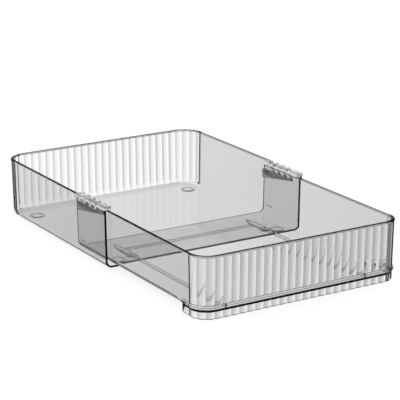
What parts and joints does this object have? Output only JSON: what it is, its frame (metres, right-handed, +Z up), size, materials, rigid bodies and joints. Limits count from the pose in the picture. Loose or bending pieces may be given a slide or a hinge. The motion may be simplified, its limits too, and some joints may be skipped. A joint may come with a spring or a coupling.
{
  "type": "expandable drawer organizer tray",
  "caption": "Clear smoke-plastic organizer tray with reeded ends, whose front half slides into the rear half along toothed side racks to fit a drawer's length.",
  "frame": {"origin": "middle of the extended tray's footprint, on the table", "axes": "+Y along the slide, from the front tray towards the rear tray's back wall; +X across; +Z up"},
  "size_m": [0.2364, 0.3956, 0.065],
  "materials": {
    "smoke_plastic": "clear smoke-grey moulded plastic, high gloss",
    "lock_plastic": "clear smoke-grey moulded plastic, gloss",
    "soft_pad": "clear soft silicone rubber"
  },
  "bodies": {
    "rear_section": {"rear_tray": "smoke_plastic", "left_rim_rack": "lock_plastic", "right_rim_rack": "lock_plastic", "front_left_foot_pad": "soft_pad", "front_right_foot_pad": "soft_pad", "rear_left_foot_pad": "soft_pad", "rear_right_foot_pad": "soft_pad"},
    "front_section": {"front_tray": "smoke_plastic", "left_ratchet_plate": "lock_plastic", "right_ratchet_plate": "lock_plastic"}
  },
  "joints": [
    {"name": "front_tray_slide", "type": "slide", "parent": "rear_section", "child": "front_section", "axis": [0, 1, 0], "range_m": [0, 0.136]}
  ]
}
